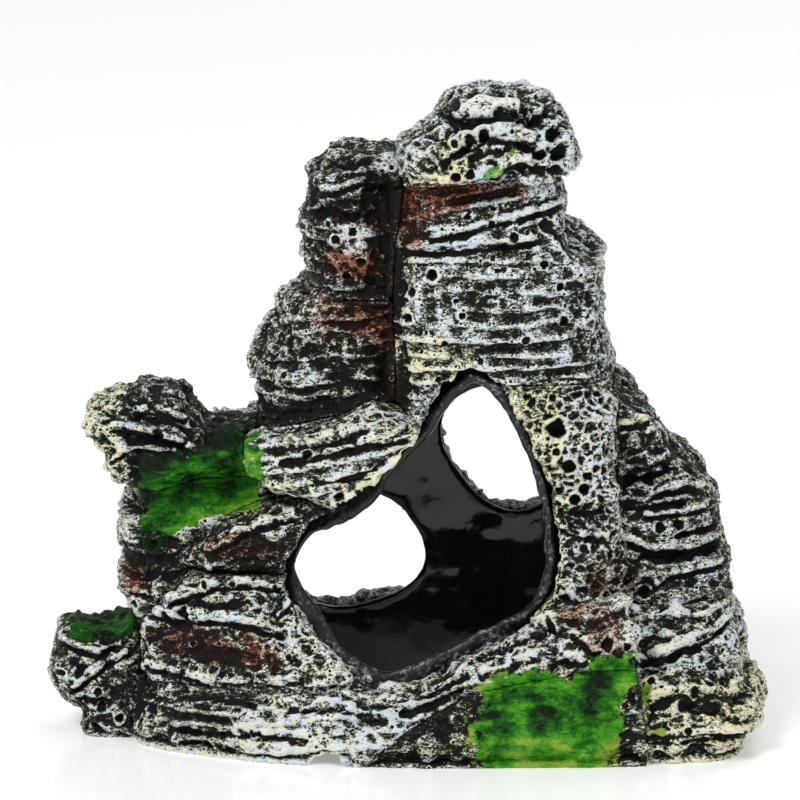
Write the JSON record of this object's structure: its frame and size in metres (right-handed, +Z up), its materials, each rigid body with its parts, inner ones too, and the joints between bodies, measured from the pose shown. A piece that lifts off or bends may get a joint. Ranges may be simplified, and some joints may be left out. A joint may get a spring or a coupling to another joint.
{
  "type": "aquarium cave ornament",
  "caption": "Painted resin rock crag for an aquarium or pond: tall peaks over a glossy black cave with an arched mouth, rear windows and an open underside.",
  "frame": {"origin": "centre of the bounding box in plan, at the height of the surface the ornament stands on", "axes": "+X to the right seen from the front, +Y from the front with the cave mouth to the rear with the windows, +Z up"},
  "size_m": [0.109, 0.056, 0.103],
  "materials": {
    "painted_rock": "charcoal polyresin cast with strata and pits, dry-brushed white and cream, with rust-brown washes, satin sealer",
    "mossed_rock": "the same cast polyresin with a glossy moss-green paint in its hollows",
    "cave_gloss": "smooth glossy black resin"
  },
  "bodies": {
    "root": {"crown": "painted_rock", "arch_slab": "painted_rock", "right_pillar": "painted_rock", "main_spire": "painted_rock", "left_spire": "painted_rock", "left_flank": "painted_rock", "left_jamb": "painted_rock", "left_step": "painted_rock", "left_arm": "painted_rock", "left_wall": "mossed_rock", "front_apron": "mossed_rock", "right_base": "painted_rock", "front_sill": "painted_rock", "right_shoulder": "painted_rock", "left_boulder": "painted_rock", "rear_bridge": "painted_rock", "rear_left": "painted_rock", "rear_pier": "painted_rock", "rear_right": "painted_rock", "rear_sill": "painted_rock", "cave_liner": "cave_gloss"}
  },
  "joints": []
}
